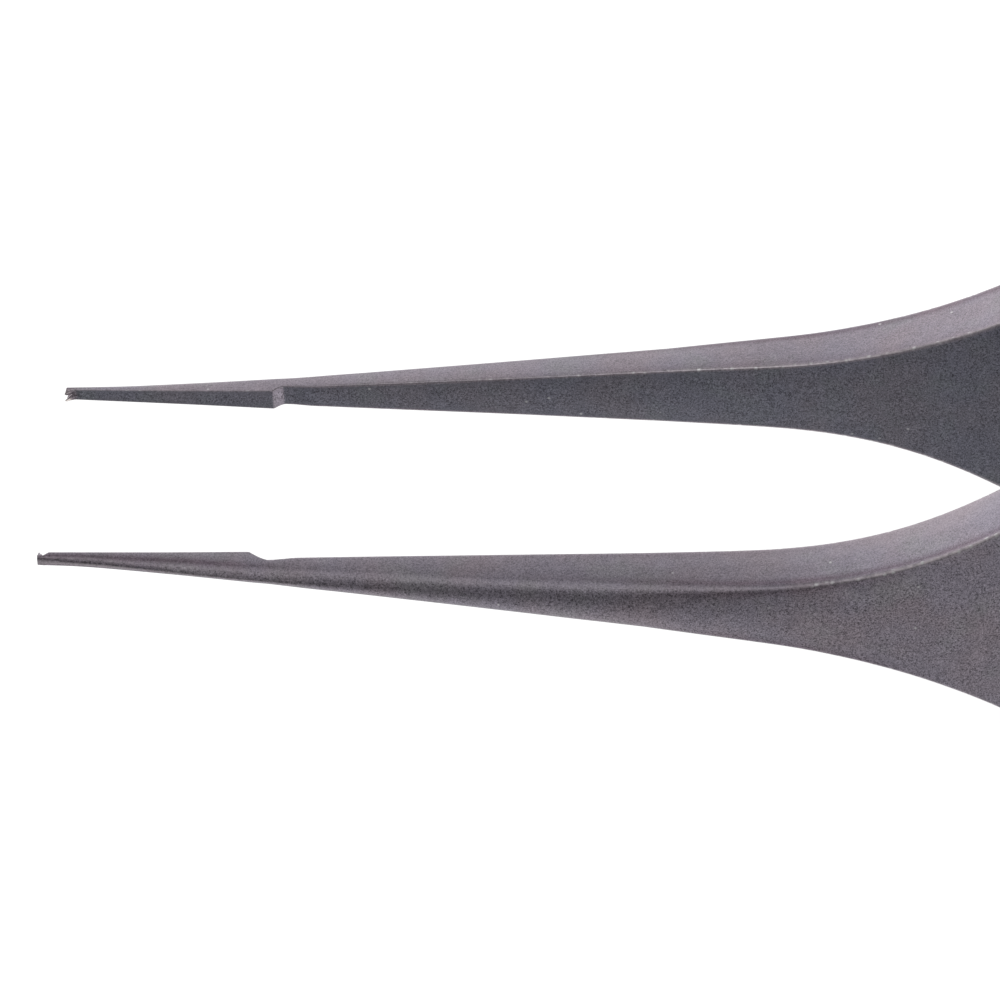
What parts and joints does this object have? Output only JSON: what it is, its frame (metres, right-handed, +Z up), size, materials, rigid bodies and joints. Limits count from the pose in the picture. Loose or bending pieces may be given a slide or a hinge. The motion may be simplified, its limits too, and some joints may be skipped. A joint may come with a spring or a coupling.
{
  "type": "toothed micro forceps",
  "caption": "Fine-tipped spring forceps with flat serrated handles, slender tapered jaws, tying platforms and interlocking micro teeth.",
  "frame": {"origin": "centre of the bounding box's base: mid-length, midway between the arms, on the plane the handle's lower edges rest on", "axes": "+X from the tips towards the joined tail, +Y the way the jaws open (towards the two-tooth arm), +Z up across the width of the arms"},
  "size_m": [0.108, 0.0104, 0.009],
  "materials": {
    "arm_metal": "satin, bead blasted titanium grey",
    "pin_metal": "satin, ground flush"
  },
  "bodies": {
    "tail": {"tail_spacer": "arm_metal", "double_tooth_arm_tail": "arm_metal", "single_tooth_arm_tail": "arm_metal", "tail_rivet_front": "pin_metal", "tail_rivet_rear": "pin_metal"},
    "two_tooth_arm": {"double_tooth_arm": "arm_metal", "guide_pin": "pin_metal"},
    "one_tooth_arm": {"single_tooth_arm": "arm_metal", "stop_pin": "pin_metal"}
  },
  "joints": [
    {"name": "two_tooth_arm_bend", "type": "hinge", "parent": "tail", "child": "two_tooth_arm", "pos_m": [0.034, 0.00116, 0.0045], "axis": [0, 0, 1], "range_deg": [0, 2.12], "stiffness_Nm_per_rad": 1},
    {"name": "one_tooth_arm_bend", "type": "hinge", "parent": "tail", "child": "one_tooth_arm", "pos_m": [0.034, -0.00116, 0.0045], "axis": [0, 0, -1], "range_deg": [0, 2.12], "stiffness_Nm_per_rad": 1}
  ]
}
